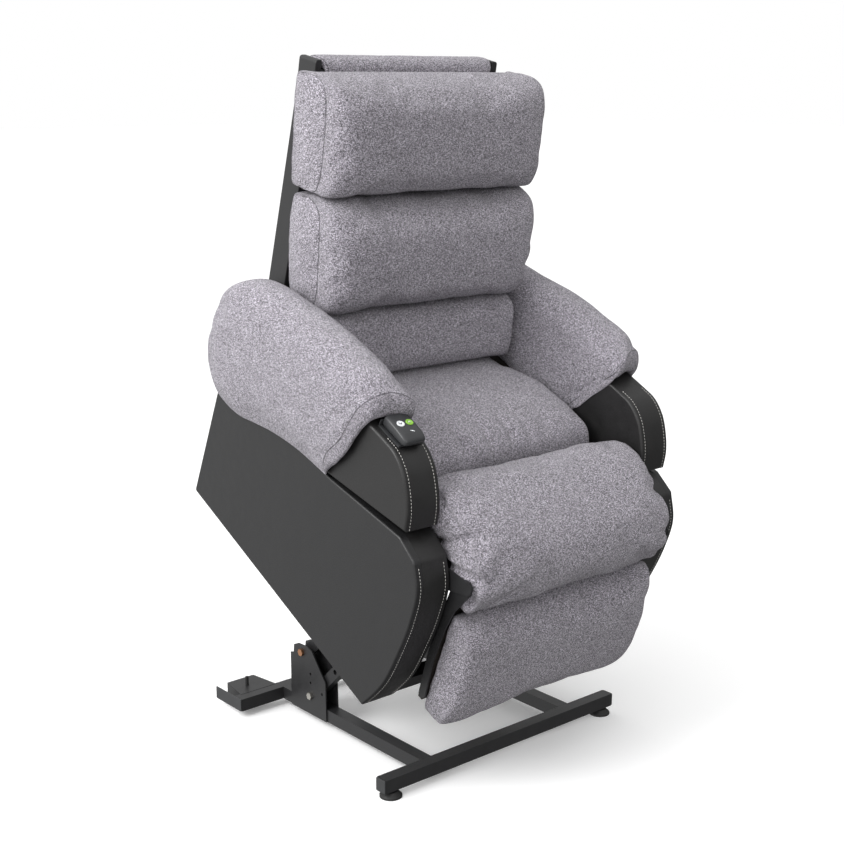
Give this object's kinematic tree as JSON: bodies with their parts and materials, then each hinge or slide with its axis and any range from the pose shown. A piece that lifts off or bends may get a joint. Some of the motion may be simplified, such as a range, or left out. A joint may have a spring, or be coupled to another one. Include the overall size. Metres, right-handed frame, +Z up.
{
  "type": "lift recliner chair",
  "caption": "Grey fabric and black vinyl lift recliner chair, tipped forward by a powered link base, with a reclining back, a swinging leg rest and a handset on one arm.",
  "frame": {"origin": "on the floor, under the middle of the chair's bounding box in its raised position", "axes": "+X to the sitter's left, +Y to the chair's back, +Z up; the sitter faces -Y"},
  "size_m": [0.81, 0.8796, 1.5173],
  "materials": {
    "grey_fabric": "coarse heather weave, matte",
    "black_vinyl": "fine grained vinyl, satin, white seams",
    "black_steel": "satin black powder coat",
    "black_rubber": "matte",
    "zinc": "yellow zinc plated",
    "plywood": "raw plywood, hidden",
    "black_plastic": "fine texture",
    "bright_rod": "ground steel",
    "green_button": "satin",
    "white_button": "satin"
  },
  "bodies": {
    "base": {"base_front_bar": "black_steel", "base_rear_bar": "black_steel", "base_rail_right": "black_steel", "base_rail_left": "black_steel", "lift_bracket_right": "black_steel", "lift_bracket_left": "black_steel", "foot_front_right": "black_rubber", "foot_front_left": "black_rubber", "foot_rear_right": "black_rubber", "foot_rear_left": "black_rubber", "actuator_base_clevis": "black_steel", "pivot_bolt_lower_right": "zinc", "pivot_bolt_lower_left": "zinc", "pivot_bolt_upper_right": "zinc", "pivot_bolt_upper_left": "zinc"},
    "lower_link": {"lower_lift_arm": "black_steel"},
    "upper_link": {"upper_link_right": "black_steel", "upper_link_left": "black_steel"},
    "chair": {"lift_frame": "black_steel", "side_plate_right": "black_steel", "side_plate_left": "black_steel", "seat_front_tube": "black_steel", "seat_rear_tube": "black_steel", "lower_front_tube": "black_steel", "seat_deck": "plywood", "seat_cushion": "grey_fabric", "outer_side_right": "black_vinyl", "outer_side_left": "black_vinyl", "front_post_right": "black_vinyl", "front_post_left": "black_vinyl", "arm_frame_right": "plywood", "arm_frame_left": "plywood", "arm_front_right": "black_vinyl", "arm_front_left": "black_vinyl", "arm_pad_right": "grey_fabric", "arm_pad_left": "grey_fabric", "rear_valance": "black_vinyl", "control_box": "black_plastic", "handset_holder": "black_plastic"},
    "actuator": {"motor_housing": "black_plastic", "actuator_tube": "black_plastic"},
    "rod": {"actuator_rod": "bright_rod"},
    "backrest": {"back_shell": "black_vinyl", "back_board": "plywood", "back_top_strip": "grey_fabric", "head_pillow": "grey_fabric", "lumbar_pillow": "grey_fabric", "lower_back_pillow": "grey_fabric", "back_bracket_right": "black_steel", "back_bracket_left": "black_steel"},
    "connecting_link": {"connecting_link_right": "black_steel", "connecting_link_left": "black_steel"},
    "footrest": {"footrest_board": "plywood", "footrest_pad": "grey_fabric", "footrest_arm_right": "black_steel", "footrest_arm_left": "black_steel"},
    "knee": {"knee_pad": "grey_fabric"},
    "handset": {"handset_case": "black_plastic"},
    "lower_button": {"button_lower": "white_button"},
    "raise_button": {"button_raise": "green_button"}
  },
  "joints": [
    {"name": "lift", "type": "hinge", "parent": "base", "child": "lower_link", "pos_m": [0, 0.2041, 0.064], "axis": [1, 0, 0], "range_deg": [0, 36.54]},
    {"name": "upper_link_pivot", "type": "hinge", "parent": "base", "child": "upper_link", "pos_m": [0, 0.2361, 0.163], "axis": [1, 0, 0], "range_deg": [0, 37.25]},
    {"name": "chair_tilt", "type": "hinge", "parent": "lower_link", "child": "chair", "pos_m": [0, -0.07802, 0.3381], "axis": [1, 0, 0], "range_deg": [-64.2, 0]},
    {"name": "actuator_pivot", "type": "hinge", "parent": "base", "child": "actuator", "pos_m": [0, 0.2931, 0.1], "axis": [1, 0, 0], "range_deg": [0, 28.8]},
    {"name": "rod_slide", "type": "slide", "parent": "actuator", "child": "rod", "axis": [0, -0.7425, 0.6698], "range_m": [-0.048, 0]},
    {"name": "backrest_recline", "type": "hinge", "parent": "chair", "child": "backrest", "pos_m": [0, 0.23201, 0.84999], "axis": [-1, 0, 0], "range_deg": [0, 35]},
    {"name": "connecting_link_pivot", "type": "hinge", "parent": "backrest", "child": "connecting_link", "pos_m": [0, 0.28116, 0.801], "axis": [-1, 0, 0], "range_deg": [-35.05, 0]},
    {"name": "footrest_swing", "type": "hinge", "parent": "chair", "child": "footrest", "pos_m": [0, -0.40143, 0.50755], "axis": [-1, 0, 0], "range_deg": [0, 87.6]},
    {"name": "knee_pad_lift", "type": "hinge", "parent": "chair", "child": "knee", "pos_m": [0, -0.2258, 0.68964], "axis": [-1, 0, 0], "range_deg": [0, 16.1]},
    {"name": "handset_pull", "type": "slide", "parent": "chair", "child": "handset", "axis": [0, -0.8862, -0.4633], "range_m": [0, 0.07]},
    {"name": "lower_button_press", "type": "slide", "parent": "handset", "child": "lower_button", "axis": [0, 0.4633, -0.8862], "range_m": [0, 0.0015], "stiffness_N_per_m": 400},
    {"name": "raise_button_press", "type": "slide", "parent": "handset", "child": "raise_button", "axis": [0, 0.4633, -0.8862], "range_m": [0, 0.0015], "stiffness_N_per_m": 400}
  ],
  "couplings": [
    {"joint": "upper_link_pivot", "follows": "lift", "ratio": 1.018},
    {"joint": "chair_tilt", "follows": "lift", "ratio": -1.7553},
    {"joint": "actuator_pivot", "follows": "lift", "ratio": 0.78658},
    {"joint": "rod_slide", "follows": "lift", "m_per_rad": -0.07481},
    {"joint": "footrest_swing", "follows": "backrest_recline", "ratio": 2.5},
    {"joint": "knee_pad_lift", "follows": "backrest_recline", "ratio": 0.457},
    {"joint": "connecting_link_pivot", "follows": "backrest_recline", "ratio": -1}
  ]
}
